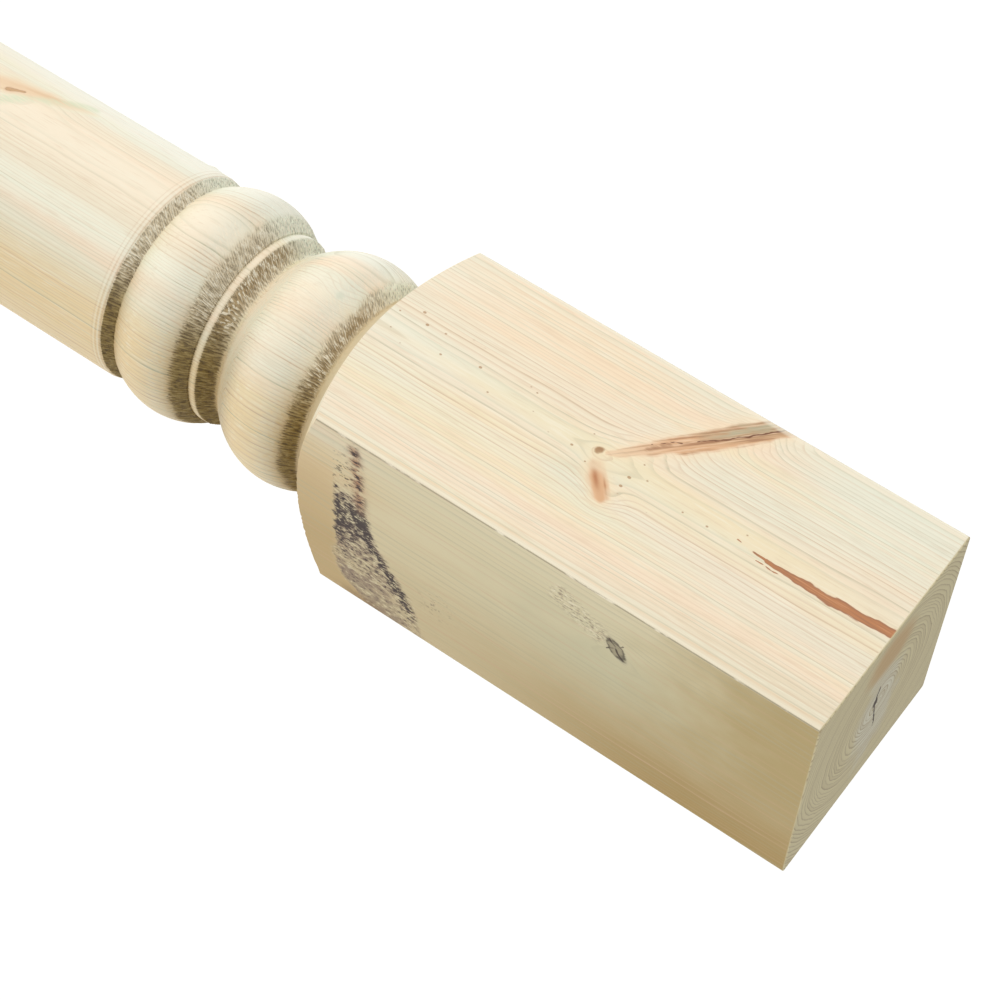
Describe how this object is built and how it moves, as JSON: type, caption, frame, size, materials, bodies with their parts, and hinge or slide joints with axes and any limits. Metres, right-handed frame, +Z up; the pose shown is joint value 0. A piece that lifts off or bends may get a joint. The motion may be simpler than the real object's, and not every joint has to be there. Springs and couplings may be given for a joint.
{
  "type": "turned deck post",
  "caption": "Turned pine deck post: square block at each end, round shaft between, with a pair of beads where the shaft meets each block.",
  "frame": {"origin": "middle of the sawn underside of the foot block", "axes": "+Z up the post from the foot block to the top block; X and Y square to the flats of both blocks"},
  "size_m": [0.089, 0.089, 1.372],
  "materials": {
    "treated_pine": "planed and turned raw treated pine, matt, torn across the grain in the grooves"
  },
  "bodies": {
    "root": {"turned_post": "treated_pine"}
  },
  "joints": []
}
